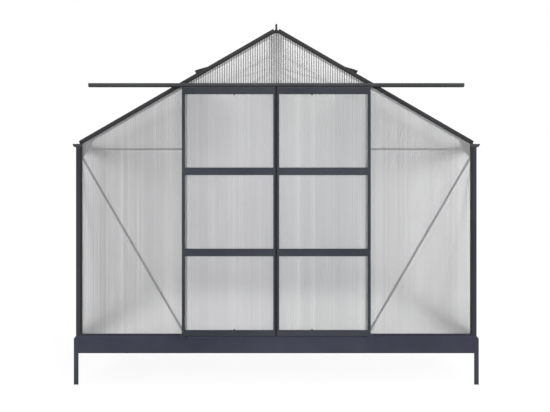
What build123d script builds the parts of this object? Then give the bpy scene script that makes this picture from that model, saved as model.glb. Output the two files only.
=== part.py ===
from build123d import *
import os
from math import atan2, cos, degrees, hypot, radians, sin, tan

# Walk-in greenhouse: an aluminium frame glazed with twin-wall sheet, on a folded steel base.
# The front gable faces -Y. The origin is at ground level under the middle of the greenhouse.
# A depth is measured from the outer face of a wall or roof inwards.

# Base frame and ground stakes
base_width = 2530
base_length = 3070
base_face = 93.5
base_slope_run = 8.5
base_slope_rise = 13
base_sheet = 2
base_top_flange = 23.5
base_bottom_flange = 20
base_hem = 12
stake_reach = 196
stake_width = 29
stake_thickness = 2

# Fits
joint_gap = 0.3
glazing_gap = 0.3
sheet_end_gap = 1
cut_overrun = 50

# Glazing: the sheet lies between an outer lip and an inner flange of each bar
sheet_thickness = 4
lip_recess = 2
lip_thickness = 2
bar_depth = 24
bar_wall = 2

# Bars between two sheets: cap, web, inner flange and a bolt channel
bar_cap = 24
bar_web = 3
bar_flange = 40
channel_width = 16
channel_slot = 7

# Walls
post_height = 1184.5
post_face = 24
post_lip = 14
sill_foot = 2
sill_lip = 12
bay_count = 5
rear_stud_place = 608

# Roof
roof_pitch = 30
roof_lift = 25.8
rafter_face = 17
rafter_lip = 7
rafter_flange = 23
rafter_roof_lip = 15
rafter_foot_inset = 17
rafter_head_gap = 19.7

# Eaves beam with its rain gutter
gutter_reach = 22
gutter_rise = 18
gutter_lean = 8
gutter_sheet = 2
gutter_bead = 2
gutter_back_inset = 22
gutter_cap_thickness = 2
eaves_lip = 15

# Ridge
ridge_fin = 8
ridge_fin_rise = 19
ridge_bulb = 6.5
ridge_wing = 52
ridge_drop = 65
ridge_foot = 24
ridge_foot_thickness = 4
sheet_grip = 30

# Roof vents, hinged at the ridge and standing open
vent_bay = 1
vent_slope = 15.7
vent_length = 577
vent_bar = 24
vent_under = 4
vent_over = 16
vent_overlap = 16
vent_groove = 8
vent_groove_lift = 4
vent_bead = 4
vent_nose = 18
vent_nose_lift = 12
vent_nose_drop = 6
vent_nose_thickness = 2.5
vent_sill_grip = 14
vent_sill_wall = 2
stay_width = 14
stay_thickness = 3
stay_tail = 60
stay_hole = 5
stay_hole_count = 5

# Doorway
jamb_face = 17
jamb_lip = 13
jamb_flange = 16
doorway_width = 1120
header_face = 23
header_lip = 12

# Door track and guides
track_length = 2336
track_height = 21.5
track_depth = 30
track_wall = 2
track_slot = 10
track_cap = 2
guide_width = 40
guide_thickness = 2
guide_rise = 28.5
guide_drop = 40
guide_step_drop = 4

# Sliding door leaves
leaf_lap = 9
leaf_depth = 20
leaf_bottom_gap = 3.5
leaf_height = 1546
leaf_clearance = 5
meeting_gap = 10
stile_width = 14
meeting_stile = 12.5
top_rail = 37
middle_rail = 44.5
bottom_rail = 35
middle_rail_places = (520, 1026.5)
door_groove = 8
guide_slot_width = 14
guide_slot_height = 20
seal_depth = 4
seal_inset = 2

# Door hangers and rollers
hanger_inset = 80
hanger_foot_length = 40
hanger_foot_depth = 16
hanger_foot_thickness = 2
hanger_stem_width = 24
hanger_stem_thickness = 3
hanger_head = 6
track_gap = 7
roller_radius = 8
roller_width = 6
roller_side_gap = 1
axle_radius = 2.5
axle_clearance = 0.2

# Braces, ties and gusset plates
brace_width = 14
brace_thickness = 3
brace_head_drop = 41
brace_foot_drop = 6.5
side_brace_head_drop = 87
tie_width = 12
tie_drop = 14
gusset_thickness = 2
gusset_arm = 66
gusset_leg = 70
gusset_waist = 47
gusset_waist_drop = 14
ridge_plate_half = 56
ridge_plate_flare = 14
ridge_plate_depth = 76

# Levels and planes worked out from the sizes above
pitch = radians(roof_pitch)
lip_inner = lip_recess + lip_thickness
sheet_outer = lip_inner + glazing_gap
sheet_inner = sheet_outer + sheet_thickness
flange_outer = sheet_inner + glazing_gap
flange_inner = flange_outer + lip_thickness

base_bottom = stake_reach
face_top = base_bottom + base_face
base_top = face_top + base_slope_rise
post_top = base_top + post_height

wall_inset = stake_thickness + base_slope_run
half_base = base_width / 2
half_wall = half_base - wall_inset
wall_length = base_length - 2 * wall_inset
middle_y = (track_depth - wall_inset) / 2
front_y = middle_y - wall_length / 2
rear_y = middle_y + wall_length / 2

apex = post_top + roof_lift + half_wall * tan(pitch)
post_edge = half_wall - post_face
eaves_inner = post_edge - post_lip
eaves_outer = half_wall - gutter_back_inset
rafter_foot = (half_wall - rafter_foot_inset) / cos(pitch)
rafter_head = rafter_head_gap / cos(pitch)
roof_lip_end = bar_depth + rafter_roof_lip

bay_pitch = (wall_length - bar_depth) / bay_count
stud_places = [front_y + bar_depth / 2 + i * bay_pitch for i in range(1, bay_count)]
bay_starts = [front_y + post_face] + [y + bar_web / 2 for y in stud_places]
bay_ends = [y - bar_web / 2 for y in stud_places] + [rear_y - post_face]
bay_spans = [(a + sheet_end_gap, b - sheet_end_gap) for a, b in zip(bay_starts, bay_ends)]

doorway_half = doorway_width / 2
jamb_edge = doorway_half + jamb_face
leaf_back = front_y - leaf_clearance
leaf_middle = leaf_back - leaf_depth / 2
leaf_front = leaf_back - leaf_depth
leaf_bottom = base_top + leaf_bottom_gap
leaf_top = leaf_bottom + leaf_height
track_bottom = leaf_top + track_gap
track_top = track_bottom + track_height
header_top = track_top - header_lip
header_bottom = header_top - header_face
fin_bottom_gap = (rafter_head_gap - ridge_fin / 2 - joint_gap) / tan(pitch)
fin_bottom = apex - rafter_head * sin(pitch) - fin_bottom_gap


# Shared outlines and placings


def rect(x_span, y_span):
    """A rectangle between two pairs of places."""
    centre = Pos((x_span[0] + x_span[1]) / 2, (y_span[0] + y_span[1]) / 2)
    return centre * Rectangle(x_span[1] - x_span[0], y_span[1] - y_span[0])


def strip(across, depth):
    """One wall of a bar's section: its place across the bar and its depth from the outer face."""
    return rect(across, (-depth[1], -depth[0]))


def ring(across, depth, wall):
    """A square tube section with an even wall."""
    inner_across = (across[0] + wall, across[1] - wall)
    inner_depth = (depth[0] + wall, depth[1] - wall)
    return strip(across, depth) - strip(inner_across, inner_depth)


def slab(face, y_span):
    """An outline drawn in X and Z, given a thickness along Y."""
    plane = Plane(origin=(0, y_span[1], 0), x_dir=(1, 0, 0), z_dir=(0, -1, 0))
    return extrude(plane * face, amount=y_span[1] - y_span[0])


def along_x(face, x_span):
    """A section drawn in Y and Z, run along X."""
    plane = Plane(origin=(x_span[0], 0, 0), x_dir=(0, 1, 0), z_dir=(1, 0, 0))
    return extrude(plane * face, amount=x_span[1] - x_span[0])


def upright(face, z_span):
    """A section drawn in X and Y, run upwards."""
    return extrude(Pos(0, 0, z_span[0]) * face, amount=z_span[1] - z_span[0])


def left(shape):
    return mirror(shape, about=Plane.YZ)


def rear(shape):
    return mirror(shape, about=Plane(origin=(0, middle_y, 0), z_dir=(0, 1, 0)))


def roof_z(x, depth):
    """Height of the roof at a place across the greenhouse, at a depth under its outer face."""
    return apex - depth / cos(pitch) - abs(x) * tan(pitch)


def roof_point(run, depth):
    """A point of the right-hand slope, by its run down the slope from the apex and its depth."""
    return (run * cos(pitch) - depth * sin(pitch), apex - run * sin(pitch) - depth * cos(pitch))


def roof_quad(runs, depths):
    """A rectangle that lies along the right-hand slope, seen from the front."""
    corners = [(runs[0], depths[0]), (runs[0], depths[1]), (runs[1], depths[1]), (runs[1], depths[0])]
    return Polygon(*[roof_point(*corner) for corner in corners])


def under_roof(depth):
    """The gable outline below a line at a given depth under the roof."""
    edge = half_base + cut_overrun
    return Polygon((-edge, 0), (edge, 0), (edge, roof_z(edge, depth)), (0, roof_z(0, depth)),
                   (-edge, roof_z(edge, depth)))


def whole_depth(face):
    """A gable outline run through the whole length of the greenhouse, to trim with."""
    return slab(face, (front_y - cut_overrun, rear_y + cut_overrun))


def flat_bar(start, end, width):
    """The outline of a flat bar with round ends, between the centres of its end bolts."""
    run = (end[0] - start[0], end[1] - start[1])
    middle = Pos((start[0] + end[0]) / 2, (start[1] + end[1]) / 2)
    return middle * Rot(0, 0, degrees(atan2(run[1], run[0]))) * SlotCenterToCenter(hypot(*run), width)


parts = {}


def node(name, *pieces):
    """Keep the solids of one named sub-part."""
    solids = [solid for piece in pieces for solid in piece.solids()]
    parts[name] = Compound(children=solids)


# Steel base: a sheet folded into a face, a sloped top edge, a flange for the sills and a foot


def base_section():
    hem_x = base_slope_run + base_top_flange
    folds = [(base_bottom_flange, base_bottom), (0, base_bottom), (0, face_top), (base_slope_run, base_top),
             (hem_x, base_top), (hem_x, base_top - base_hem)]
    line = Polyline(*folds)
    return make_face(offset(line, base_sheet, side=Side.RIGHT, kind=Kind.INTERSECTION))


def base_rails():
    face_x = half_base - stake_thickness
    half_y = base_length / 2 - stake_thickness
    mitre = base_slope_run + base_top_flange + cut_overrun
    front_plane = Plane(origin=(-face_x, middle_y - half_y, 0), x_dir=(0, 1, 0), z_dir=(1, 0, 0))
    side_plane = Plane(origin=(face_x, middle_y - half_y, 0), x_dir=(-1, 0, 0), z_dir=(0, 1, 0))
    front_plan = Pos(0, middle_y - half_y) * Polygon(
        (-face_x, 0), (face_x, 0), (face_x - mitre, mitre), (mitre - face_x, mitre))
    side_plan = Pos(face_x, middle_y) * Polygon(
        (0, -half_y), (0, half_y), (-mitre, half_y - mitre), (-mitre, mitre - half_y))
    front = extrude(front_plane * base_section(), amount=2 * face_x) & upright(front_plan, (0, base_top))
    side = extrude(side_plane * base_section(), amount=2 * half_y) & upright(side_plan, (0, base_top))
    return front, side


front_rail, right_rail = base_rails()
node("base_end_rails", front_rail, rear(front_rail))
node("base_side_rails", right_rail, left(right_rail))


def ground_stake():
    corner_y = middle_y - base_length / 2
    legs = rect((half_base - stake_width, half_base), (corner_y, corner_y + stake_thickness))
    legs += rect((half_base - stake_thickness, half_base), (corner_y, corner_y + stake_width))
    return upright(legs, (0, face_top))


stake = ground_stake()
node("ground_stakes", stake, left(stake), rear(stake), left(rear(stake)))


# Wall sills, posts and studs


def sill_section():
    foot = rect((lip_recess, base_top_flange), (base_top, base_top + sill_foot))
    lips = [(lip_recess, lip_inner), (flange_outer, flange_inner)]
    for lip in lips:
        foot += rect(lip, (base_top + sill_foot, base_top + sill_lip))
    return foot


def sills():
    side_plane = Plane(origin=(half_wall, front_y + post_face + post_lip + joint_gap, 0),
                       x_dir=(-1, 0, 0), z_dir=(0, 1, 0))
    side = extrude(side_plane * sill_section(), amount=wall_length - 2 * (post_face + post_lip + joint_gap))
    front = along_x(Pos(front_y, 0) * sill_section(),
                    (jamb_edge + jamb_flange + joint_gap, eaves_inner - joint_gap))
    back_half = eaves_inner - joint_gap
    back = rear(along_x(Pos(front_y, 0) * sill_section(), (-back_half, back_half)))
    threshold_half = doorway_half - joint_gap
    threshold_y = (front_y + lip_recess, front_y + base_top_flange)
    threshold_section = rect(threshold_y, (base_top, base_top + sill_foot))
    threshold = along_x(threshold_section, (-threshold_half, threshold_half))
    return side, left(side), front, left(front), back, threshold


node("wall_sills", *sills())


def edge_section(face, lip, flange):
    """A bar that holds one sheet: a tube with an outer lip and an inner flange."""
    section = ring((0, face), (0, bar_depth), bar_wall)
    section += strip((face, face + lip), (lip_recess, lip_inner))
    return section + strip((face, face + flange), (flange_outer, flange_inner))


def corner_post():
    across = edge_section(post_face, post_lip, post_lip)
    both = across + mirror(across, about=Plane(origin=(0, 0, 0), z_dir=(1, 1, 0)))
    corner = Pos(half_wall, front_y) * mirror(mirror(both, about=Plane.XZ), about=Plane.YZ)
    return upright(corner, (base_top, post_top))


post = corner_post()
node("corner_posts", post, left(post), rear(post), left(rear(post)))


def glazing_section():
    """The part of a bar that holds the sheets at both sides."""
    section = strip((-bar_cap / 2, bar_cap / 2), (lip_recess, lip_inner))
    section += strip((-bar_web / 2, bar_web / 2), (lip_inner, flange_outer))
    return section + strip((-bar_flange / 2, bar_flange / 2), (flange_outer, flange_inner))


def channel_section():
    """The slotted channel at the back of a bar, for the heads of its bolts."""
    half = channel_width / 2
    channel = strip((-half, half), (flange_inner, bar_depth))
    channel -= strip((bar_wall - half, half - bar_wall), (flange_inner, bar_depth - bar_wall))
    return channel - strip((-channel_slot / 2, channel_slot / 2), (bar_depth - bar_wall, bar_depth))


def side_stud(place):
    plane = Plane(origin=(half_wall, place, 0), x_dir=(0, -1, 0), z_dir=(0, 0, 1))
    glazing_foot = base_top + sill_lip
    glazing_height = post_top - eaves_lip - glazing_foot
    stud = extrude(plane.offset(glazing_foot) * glazing_section(), amount=glazing_height)
    channel_foot = base_top + sill_foot
    return stud + extrude(plane.offset(channel_foot) * channel_section(), amount=post_top - channel_foot)


studs = [side_stud(place) for place in stud_places]
node("side_wall_studs", *studs, *[left(stud) for stud in studs])

gable_line = rafter_face + rafter_flange + joint_gap
ridge_plate_bottom = apex - ridge_plate_depth


def rear_stud(place):
    plane = Plane(origin=(place, rear_y, 0), x_dir=(1, 0, 0), z_dir=(0, 0, 1))
    glazing_foot = base_top + sill_lip
    channel_foot = base_top + sill_foot
    stud = extrude(plane.offset(glazing_foot) * glazing_section(), amount=apex - glazing_foot)
    channel_top = ridge_plate_bottom - joint_gap
    stud += extrude(plane.offset(channel_foot) * channel_section(), amount=channel_top - channel_foot)
    return stud & whole_depth(under_roof(gable_line))


node("rear_wall_studs", *[rear_stud(place) for place in (-rear_stud_place, 0, rear_stud_place)])


# Doorway


def door_jamb():
    section = mirror(edge_section(jamb_face, jamb_lip, jamb_flange), about=Plane.XZ)
    bar = upright(Pos(doorway_half, front_y) * section, (base_top, header_bottom))
    return bar & whole_depth(under_roof(gable_line))


jamb = door_jamb()
node("door_jambs", jamb, left(jamb))


def door_header():
    section = edge_section(header_face, header_lip, header_lip)
    plane = Plane(origin=(-jamb_edge, front_y, header_bottom), x_dir=(0, 0, 1), z_dir=(1, 0, 0))
    bar = extrude(plane * section, amount=2 * jamb_edge)
    return bar & whole_depth(under_roof(gable_line))


node("door_header", door_header())


# Eaves beams with gutters


def eaves_beam():
    seat = flange_inner + joint_gap
    box = Polygon((eaves_inner, post_top), (eaves_outer, post_top),
                  (eaves_outer, roof_z(eaves_outer, seat)), (eaves_inner, roof_z(eaves_inner, seat)))
    hollow = (eaves_inner + gutter_sheet, eaves_outer - gutter_sheet)
    ceiling = seat + gutter_sheet
    box -= Polygon((hollow[0], post_top + gutter_sheet), (hollow[1], post_top + gutter_sheet),
                   (hollow[1], roof_z(hollow[1], ceiling)), (hollow[0], roof_z(hollow[0], ceiling)))
    tip = half_wall + gutter_reach
    foot = tip - gutter_lean
    brim = post_top + gutter_rise
    box += rect((eaves_outer, foot), (post_top, post_top + gutter_sheet))
    box += Polygon((foot, post_top), (tip, brim - gutter_bead), (tip - gutter_sheet, brim - gutter_bead),
                   (foot - gutter_sheet, post_top))
    box += Pos(tip - gutter_bead, brim - gutter_bead) * Circle(gutter_bead)
    beam = slab(box, (front_y, rear_y))
    lips = rect((half_wall - lip_inner, half_wall - lip_recess), (post_top - eaves_lip, post_top))
    lips += rect((half_wall - flange_inner, half_wall - flange_outer), (post_top - eaves_lip, post_top))
    lip_start = post_face + post_lip + joint_gap
    return beam + slab(lips, (front_y + lip_start, rear_y - lip_start))


def gutter_cap():
    tip = half_wall + gutter_reach
    brim = post_top + gutter_rise
    foot = tip - gutter_lean
    outline = Polygon((eaves_inner, post_top), (foot, post_top), (tip, brim), (eaves_inner, brim))
    return slab(outline, (front_y - gutter_cap_thickness, front_y))


beam = eaves_beam()
node("right_gutter", beam)
node("left_gutter", left(beam))
cap = gutter_cap()
node("gutter_end_caps", cap, left(cap), rear(cap), left(rear(cap)))


# Roof bars and ridge


def slope_plane(y):
    return Plane(origin=(0, y, apex), x_dir=(0, 1, 0), z_dir=(cos(pitch), 0, -sin(pitch)))


def down_slope(section, y, runs):
    """A section run down the right-hand slope between two places."""
    return extrude(slope_plane(y).offset(runs[0]) * section, amount=runs[1] - runs[0])


def eaves_notch():
    """The space that a rafter's foot leaves for the eaves beam."""
    start = eaves_inner - joint_gap
    end = half_base + cut_overrun
    return whole_depth(Polygon((start, 0), (end, 0), (end, roof_z(end, flange_inner)),
                               (start, roof_z(start, flange_inner))))


def gable_rafter():
    section = ring((0, bar_depth), (0, rafter_face), bar_wall)
    section += strip((lip_recess, lip_inner), (rafter_face, rafter_face + rafter_lip))
    section += strip((flange_outer, flange_inner), (rafter_face, rafter_face + rafter_flange))
    section += strip((bar_depth, roof_lip_end), (lip_recess, lip_inner))
    section += strip((bar_depth, roof_lip_end), (flange_outer, flange_inner))
    rafter = down_slope(section, front_y, (rafter_head, rafter_foot)) - eaves_notch()
    return rafter & whole_depth(rect((joint_gap, half_base), (0, apex)))


rafter = gable_rafter()
node("gable_rafters", rafter, left(rafter), rear(rafter), left(rear(rafter)))


def roof_bar(place):
    bar = down_slope(glazing_section(), place, (ridge_wing + joint_gap, rafter_foot))
    clear_width = rect((ridge_fin / 2 + joint_gap, eaves_inner - joint_gap), (0, apex))
    return bar + (down_slope(channel_section(), place, (0, rafter_foot)) & whole_depth(clear_width))


roof_bars = [roof_bar(place) for place in stud_places]
node("roof_bars", *roof_bars, *[left(bar) for bar in roof_bars])


def ridge_bar():
    bulb_z = apex + ridge_fin_rise - ridge_bulb
    half_fin = ridge_fin / 2
    fin = rect((-half_fin, half_fin), (fin_bottom, bulb_z)) + Pos(0, bulb_z) * Circle(ridge_bulb)
    foot_z = apex - ridge_drop
    keel = rect((-half_fin, half_fin), (foot_z, fin_bottom))
    keel += rect((-ridge_foot / 2, ridge_foot / 2), (foot_z - ridge_foot_thickness, foot_z))
    for depths in ((lip_recess, lip_inner), (flange_outer, flange_inner)):
        wing = Polygon((0, roof_z(0, depths[0])), (0, roof_z(0, depths[1])),
                       roof_point(ridge_wing, depths[1]), roof_point(ridge_wing, depths[0]))
        keel += wing + mirror(wing, about=Plane.YZ)
    keel += rect((-half_fin, half_fin), (fin_bottom, bulb_z))
    inner = roof_lip_end + joint_gap
    return slab(fin, (front_y, rear_y)) + slab(keel, (front_y + inner, rear_y - inner))


node("ridge_bar", ridge_bar())


# Roof vents


vent_angle = radians(vent_slope)
hinge_x = ridge_fin / 2 + joint_gap + vent_bead
hinge_z = roof_z(hinge_x, lip_recess) + (vent_bead + joint_gap) / cos(pitch)
vent_middle = (bay_starts[vent_bay] + bay_ends[vent_bay]) / 2
vent_half = (bay_pitch + vent_overlap) / 2
vent_span = (vent_middle - vent_half, vent_middle + vent_half)


def vent_point(run, lift):
    """A point of the right-hand vent, by its run from the hinge and its lift over the hinge line."""
    return (hinge_x + run * cos(vent_angle) + lift * sin(vent_angle),
            hinge_z - run * sin(vent_angle) + lift * cos(vent_angle))


def vent_quad(runs, lifts):
    corners = [(runs[0], lifts[0]), (runs[1], lifts[0]), (runs[1], lifts[1]), (runs[0], lifts[1])]
    return Polygon(*[vent_point(*corner) for corner in corners])


def vent_frame():
    outer = slab(vent_quad((0, vent_length), (-vent_under, vent_over)), vent_span)
    opening_y = (vent_span[0] + vent_bar, vent_span[1] - vent_bar)
    outer -= slab(vent_quad((vent_bar, vent_length - vent_bar), (-cut_overrun, cut_overrun)), opening_y)
    groove_runs = (vent_bar - vent_groove, vent_length - vent_bar + vent_groove)
    groove_lifts = (vent_groove_lift, vent_groove_lift + sheet_thickness + 2 * glazing_gap)
    groove_y = (opening_y[0] - vent_groove, opening_y[1] + vent_groove)
    outer -= slab(vent_quad(groove_runs, groove_lifts), groove_y)
    nose_end = vent_length + vent_nose
    nose = vent_quad((vent_length, nose_end), (vent_nose_lift, vent_nose_lift + vent_nose_thickness))
    nose += vent_quad((nose_end - vent_nose_thickness, nose_end),
                      (vent_nose_lift - vent_nose_drop, vent_nose_lift))
    bead = Pos(*vent_point(0, 0)) * Circle(vent_bead)
    return outer + slab(nose, vent_span) + slab(bead, vent_span)


def vent_pane():
    reach = vent_groove - sheet_end_gap
    runs = (vent_bar - reach, vent_length - vent_bar + reach)
    lift = vent_groove_lift + glazing_gap
    span = (vent_span[0] + vent_bar - reach, vent_span[1] - vent_bar + reach)
    return slab(vent_quad(runs, (lift, lift + sheet_thickness)), span)


stay_head = vent_point(vent_length - vent_bar / 2, -vent_under - joint_gap - stay_width / 2)
stay_run = stay_head[0] * cos(pitch) + (apex - stay_head[1]) * sin(pitch)
stay_lift = stay_head[0] * sin(pitch) - (apex - stay_head[1]) * cos(pitch)
vent_sill_run = stay_run + stay_width / 2 + joint_gap


def vent_stay():
    """The perforated bar that props the vent; it hangs beside the vent sill."""
    tail = roof_point(stay_run, stay_tail)
    outline = flat_bar(stay_head, tail, stay_width)
    for i in range(stay_hole_count):
        place = roof_point(stay_run, stay_tail - (stay_tail + stay_lift) * i / (stay_hole_count - 1))
        outline -= Pos(*place) * Circle(stay_hole / 2)
    return slab(outline, (vent_middle - stay_thickness / 2, vent_middle + stay_thickness / 2))


def vent_sill():
    """The bar across the bay that the vent shuts on and that holds the sheet below it."""
    wall_runs = (vent_sill_run, vent_sill_run + vent_sill_wall)
    lip_runs = (vent_sill_run + vent_sill_wall, vent_sill_run + vent_sill_grip)
    section = roof_quad(wall_runs, (lip_recess, flange_inner))
    section += roof_quad(lip_runs, (lip_recess, lip_inner))
    section += roof_quad(lip_runs, (flange_outer, flange_inner))
    half = bay_pitch / 2 - bar_flange / 2 - joint_gap
    return slab(section, (vent_middle - half, vent_middle + half))


frame = vent_frame()
node("vent_frames", frame, left(frame))
pane = vent_pane()
node("vent_panes", pane, left(pane))
stay = vent_stay()
node("vent_stays", stay, left(stay))
sill = vent_sill()
node("vent_sills", sill, left(sill))


# Glazing sheets


def gable_sheet(x_span, bottom):
    """One sheet of a gable wall, cut to the roof line, the ridge fin and the eaves beam."""
    outline = rect(x_span, (bottom, fin_bottom - joint_gap)) & under_roof(rafter_face + sheet_end_gap)
    corner_x = eaves_inner - sheet_end_gap
    for side in (-1, 1):
        corner = rect((corner_x, half_base), (post_top - sheet_end_gap, apex))
        outline -= corner if side > 0 else mirror(corner, about=Plane.YZ)
    return slab(outline, (front_y + sheet_outer, front_y + sheet_inner))


sheet_foot = base_top + sill_foot + glazing_gap
post_sheet_edge = post_edge - sheet_end_gap
front_side = gable_sheet((jamb_edge + sheet_end_gap, post_sheet_edge), sheet_foot)
front_top = gable_sheet((-doorway_half, doorway_half), header_top + sheet_end_gap)
node("front_wall_panels", front_side, left(front_side), front_top)

rear_edge = bar_web / 2 + sheet_end_gap
rear_inner = rear(gable_sheet((rear_edge, rear_stud_place - rear_edge), sheet_foot))
rear_outer = rear(gable_sheet((rear_stud_place + rear_edge, post_sheet_edge), sheet_foot))
node("rear_wall_panels", rear_inner, left(rear_inner), rear_outer, left(rear_outer))


def side_sheet(y_span):
    plan = rect((half_wall - sheet_inner, half_wall - sheet_outer), y_span)
    return upright(plan, (sheet_foot, post_top - glazing_gap))


def roof_sheet(y_span, head):
    return down_slope(strip(y_span, (sheet_outer, sheet_inner)), 0, (head, rafter_foot))


side_sheets = [side_sheet(span) for span in bay_spans]
node("right_wall_panels", *side_sheets)
node("left_wall_panels", *[left(sheet) for sheet in side_sheets])

roof_heads = [ridge_wing - sheet_grip] * bay_count
roof_heads[vent_bay] = vent_sill_run + vent_sill_wall + glazing_gap
roof_sheets = [roof_sheet(span, head) for span, head in zip(bay_spans, roof_heads)]
node("right_roof_panels", *roof_sheets)
node("left_roof_panels", *[left(sheet) for sheet in roof_sheets])


# Braces, ties and gusset plates, bolted to the inner faces of the bars


brace_depths = (bar_depth, bar_depth + brace_thickness)
brace_inset = flange_inner + joint_gap + brace_width / 2
brace_head = (half_wall - brace_inset, post_top - brace_head_drop)


def gable_brace(foot_x):
    outline = flat_bar(brace_head, (foot_x, base_top - brace_foot_drop), brace_width)
    return slab(outline, (front_y + brace_depths[0], front_y + brace_depths[1]))


front_brace = gable_brace(doorway_half + jamb_face / 2)
rear_brace = rear(gable_brace(rear_stud_place))
node("gable_braces", front_brace, left(front_brace), rear_brace, left(rear_brace))


def side_brace():
    start = (front_y + brace_inset, post_top - side_brace_head_drop)
    end = (stud_places[0], base_top + brace_width)
    x_span = (half_wall - brace_depths[1], half_wall - brace_depths[0])
    return along_x(flat_bar(start, end, brace_width), x_span)


brace = side_brace()
node("side_braces", brace, left(brace), rear(brace), left(rear(brace)))

plate_depths = (front_y + flange_inner, front_y + flange_inner + gusset_thickness)


def eaves_gusset():
    top = rafter_face + joint_gap
    inner = eaves_inner - joint_gap
    outer = post_edge - joint_gap
    arm = eaves_inner - gusset_arm
    outline = Polygon(
        (outer, post_top - gusset_leg), (outer, post_top - joint_gap), (inner, post_top - joint_gap),
        (inner, roof_z(inner, top)), (arm, roof_z(arm, top)), (arm, roof_z(arm, gable_line)),
        (eaves_inner - gusset_waist, post_top - gusset_waist_drop), (eaves_inner, post_top - gusset_leg))
    return slab(outline, plate_depths)


def ridge_gusset():
    top = fin_bottom - joint_gap
    line = rafter_face + joint_gap
    shoulder = ridge_plate_half + ridge_plate_flare
    half = Polygon((0, ridge_plate_bottom), (ridge_plate_half, ridge_plate_bottom),
                   (shoulder, roof_z(shoulder, line)), (0, roof_z(0, line)))
    outline = (half + mirror(half, about=Plane.YZ)) & rect((-half_wall, half_wall), (0, top))
    return slab(outline, plate_depths)


def gable_tie(end_x):
    centre = post_top - tie_drop
    outline = rect((end_x, eaves_inner - joint_gap), (centre - tie_width / 2, centre + tie_width / 2))
    depth = plate_depths[1]
    return slab(outline, (depth, depth + brace_thickness))


gusset = eaves_gusset()
node("eaves_gussets", gusset, left(gusset), rear(gusset), left(rear(gusset)))
ridge_plate = ridge_gusset()
node("ridge_gussets", ridge_plate, rear(ridge_plate))
front_tie = gable_tie(jamb_edge + joint_gap)
rear_tie = rear(gable_tie(rear_stud_place + channel_width / 2 + joint_gap))
node("gable_ties", front_tie, left(front_tie), rear_tie, left(rear_tie))


# Door track and guides


def door_track():
    outer = rect((front_y - track_depth, front_y), (track_bottom, track_top))
    outer -= rect((front_y - track_depth + track_wall, front_y - track_wall),
                  (track_bottom + track_wall, track_top - track_wall))
    middle = front_y - track_depth / 2
    slot = (middle - track_slot / 2, middle + track_slot / 2)
    outer -= rect(slot, (track_bottom, track_bottom + track_wall))
    return along_x(outer, (-track_length / 2, track_length / 2))


def track_cap_plate():
    outline = rect((front_y - track_depth, front_y), (track_bottom, track_top))
    return along_x(outline, (track_length / 2, track_length / 2 + track_cap))


def door_guide():
    """A stepped tab on the base that keeps the foot of a leaf from swinging out."""
    face_y = front_y - base_slope_run
    foot_y = face_y - guide_thickness
    tongue = (leaf_middle - guide_thickness / 2, leaf_middle + guide_thickness / 2)
    step_top = face_top - guide_step_drop
    section = rect((foot_y, face_y), (face_top - guide_drop, step_top))
    section += rect((tongue[0], foot_y), (step_top - guide_thickness, step_top))
    section += rect(tongue, (step_top, face_top + guide_rise))
    middle = jamb_edge + leaf_lap
    return along_x(section, (middle - guide_width / 2, middle + guide_width / 2))


node("door_track", door_track())
track_end = track_cap_plate()
node("track_end_caps", track_end, left(track_end))
guide = door_guide()
node("door_guides", guide, left(guide))


# Sliding doors: a right-hand leaf, and its mirror image with the seal at the other depth


leaf_inner = meeting_gap / 2
leaf_outer = jamb_edge + leaf_lap
rail_span = (leaf_inner + meeting_stile, leaf_outer - stile_width)
door_slot = sheet_thickness + 2 * glazing_gap
pane_slot_y = (leaf_middle - door_slot / 2, leaf_middle + door_slot / 2)
rail_spans = [(leaf_bottom, leaf_bottom + bottom_rail)]
rail_spans += [(leaf_bottom + place - middle_rail / 2, leaf_bottom + place + middle_rail / 2)
               for place in middle_rail_places]
rail_spans += [(leaf_top - top_rail, leaf_top)]


def guide_slot():
    outline = rect((leaf_middle - guide_slot_width / 2, leaf_middle + guide_slot_width / 2),
                   (leaf_bottom, leaf_bottom + guide_slot_height))
    return along_x(outline, (leaf_inner - cut_overrun, leaf_outer + cut_overrun))


def door_stiles():
    inner = rect((leaf_inner, rail_span[0]), (leaf_front, leaf_back))
    inner -= rect((rail_span[0] - door_groove, rail_span[0]), pane_slot_y)
    outer = rect((rail_span[1], leaf_outer), (leaf_front, leaf_back))
    outer -= rect((rail_span[1], rail_span[1] + door_groove), pane_slot_y)
    return [upright(section, (leaf_bottom, leaf_top)) - guide_slot() for section in (inner, outer)]


def door_rails():
    rails = []
    for i, (bottom, top) in enumerate(rail_spans):
        section = rect((leaf_front, leaf_back), (bottom, top))
        if i > 0:
            section -= rect(pane_slot_y, (bottom, bottom + door_groove))
        if i < len(rail_spans) - 1:
            section -= rect(pane_slot_y, (top - door_groove, top))
        rails.append(along_x(section, rail_span) - guide_slot())
    return rails


def door_panes():
    reach = door_groove - sheet_end_gap
    x_span = (rail_span[0] - reach, rail_span[1] + reach)
    y_span = (leaf_middle - sheet_thickness / 2, leaf_middle + sheet_thickness / 2)
    panes = []
    for lower, upper in zip(rail_spans[:-1], rail_spans[1:]):
        panes.append(slab(rect(x_span, (lower[1] - reach, upper[0] + reach)), y_span))
    return panes


axle_z = track_bottom + track_wall + joint_gap + roller_radius
roller_reach = track_depth / 2 - track_wall - roller_side_gap
hanger_places = (leaf_inner + hanger_inset, leaf_outer - hanger_inset)


def door_hanger(place):
    """A foot on the top rail, a stem through the slot of the track, and the axle of two rollers."""
    foot_z = leaf_top + hanger_foot_thickness
    foot = Pos(place, leaf_middle) * Rectangle(hanger_foot_length, hanger_foot_depth)
    stem = Pos(place, leaf_middle) * Rectangle(hanger_stem_width, hanger_stem_thickness)
    axle = Pos(place, axle_z) * Circle(axle_radius)
    hanger = upright(foot, (leaf_top, foot_z)) + upright(stem, (foot_z, axle_z + hanger_head))
    return hanger + slab(axle, (leaf_middle - roller_reach, leaf_middle + roller_reach))


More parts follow.
